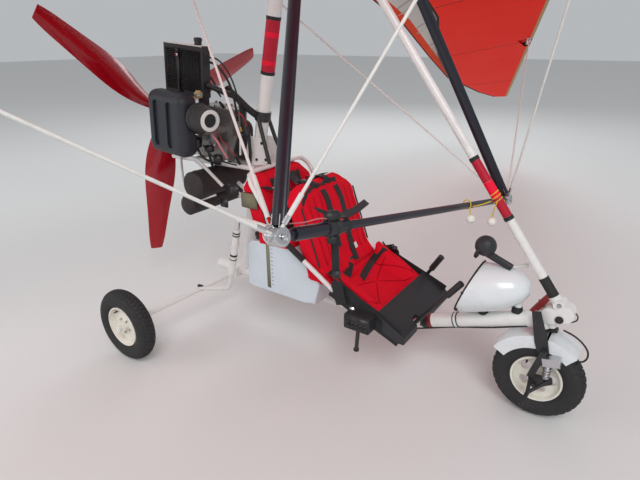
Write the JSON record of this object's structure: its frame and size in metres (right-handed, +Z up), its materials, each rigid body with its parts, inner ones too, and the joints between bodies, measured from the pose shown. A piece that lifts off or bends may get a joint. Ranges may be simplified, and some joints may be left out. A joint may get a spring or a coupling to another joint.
{
  "type": "two-seat flex-wing microlight aircraft",
  "caption": "Two-seat flex-wing microlight: three-wheeled trike with pusher propeller, red seats and a red and white wing tied down on its strut.",
  "frame": {"origin": "on the ground under the middle of the overall box, 451 mm ahead of the rear axle line", "axes": "+X forward, +Y to port along the wing's span, +Z up"},
  "size_m": [3.4494, 9.8202, 3.6827],
  "materials": {
    "tyre_rubber": "moulded black rubber",
    "white_rim": "cream white paint",
    "sailcloth": "red, white and orange-red polyester sailcloth",
    "white_sleeve": "white sleeves on stranded wire",
    "bare_alloy": "anodised tube and plate",
    "black_metal": "black satin paint",
    "red_fabric": "red woven cover with black piping",
    "engine_alloy": "cast, dull grey",
    "black_plastic": "moulded black plastic",
    "tank_plastic": "milky blown plastic",
    "white_shell": "white moulding",
    "red_blade": "deep red gloss",
    "white_paint": "white powder coat"
  },
  "bodies": {
    "trike": {"air_box": "black_plastic", "air_filter": "black_plastic", "compass": "black_metal", "dampers": "white_paint", "engine_bearers": "black_metal", "engine_block": "engine_alloy", "engine_hoses": "black_plastic", "foot_bars": "black_metal", "front_strut": "white_paint", "fuel_tank": "tank_plastic", "gear_legs": "white_paint", "instrument_pod": "white_shell", "keel_tube": "white_paint", "mast": "white_paint", "mast_clamp": "black_metal", "mast_gusset": "white_paint", "mast_head": "bare_alloy", "muffler": "black_metal", "nose_head": "white_paint", "passenger_seat_back": "red_fabric", "passenger_seat_pan": "red_fabric", "pilot_seat_back": "red_fabric", "pilot_seat_pan": "red_fabric", "radiator": "black_metal", "seat_flap": "black_plastic", "seat_frame": "white_paint", "strut_brace": "red_blade", "switch_box": "black_metal", "tank_cap": "black_plastic"},
    "steering_fork": {"fork_springs": "bare_alloy", "mudguard": "white_shell", "steering_fork": "black_metal"},
    "front_wheel": {"front_tyre": "tyre_rubber", "front_rim": "white_rim"},
    "rear_wheel_port": {"rear_port_tyre": "tyre_rubber", "rear_port_rim": "white_rim"},
    "rear_wheel_starboard": {"rear_starboard_tyre": "tyre_rubber", "rear_starboard_rim": "white_rim"},
    "propeller": {"prop_hub": "black_metal", "prop_blades": "red_blade"},
    "hang_block": {"hang_block": "bare_alloy"},
    "wing": {"apex_bracket": "bare_alloy", "base_bar": "black_metal", "crossbar_port": "bare_alloy", "crossbar_starboard": "bare_alloy", "kingpost": "bare_alloy", "leading_edge_port": "bare_alloy", "leading_edge_starboard": "bare_alloy", "sail_centre": "sailcloth", "sail_port": "sailcloth", "sail_starboard": "sailcloth", "upright_port": "black_metal", "upright_starboard": "black_metal", "wing_keel": "bare_alloy", "wire_front_port": "white_sleeve", "wire_front_starboard": "white_sleeve", "wire_rear_port": "white_sleeve", "wire_rear_starboard": "white_sleeve", "wire_side_port": "white_sleeve", "wire_side_starboard": "white_sleeve"}
  },
  "joints": [
    {"name": "steering", "type": "hinge", "parent": "trike", "child": "steering_fork", "pos_m": [1.5, 0, 0.497], "axis": [-0.2419, 0, 0.9703], "range_deg": [-25, 25]},
    {"name": "front_wheel_spin", "type": "hinge", "parent": "steering_fork", "child": "front_wheel", "pos_m": [1.52, 0, 0.205], "axis": [0, 1, 0], "continuous": true},
    {"name": "rear_port_spin", "type": "hinge", "parent": "trike", "child": "rear_wheel_port", "pos_m": [-0.451, 0.791, 0.205], "axis": [0, 1, 0], "continuous": true},
    {"name": "rear_starboard_spin", "type": "hinge", "parent": "trike", "child": "rear_wheel_starboard", "pos_m": [-0.451, -0.791, 0.205], "axis": [0, 1, 0], "continuous": true},
    {"name": "propeller_spin", "type": "hinge", "parent": "trike", "child": "propeller", "pos_m": [-0.926, 0, 1.217], "axis": [0.9965, 0, -0.0837], "continuous": true},
    {"name": "wing_pitch", "type": "hinge", "parent": "trike", "child": "hang_block", "pos_m": [0.223, 0, 2.556], "axis": [0.1115, 0.9938, 0], "range_deg": [-2.5, 12]},
    {"name": "wing_roll", "type": "hinge", "parent": "hang_block", "child": "wing", "pos_m": [0.20869, 0.00161, 2.62553], "axis": [0.9731, -0.1092, 0.2028], "range_deg": [-6, 25]}
  ]
}
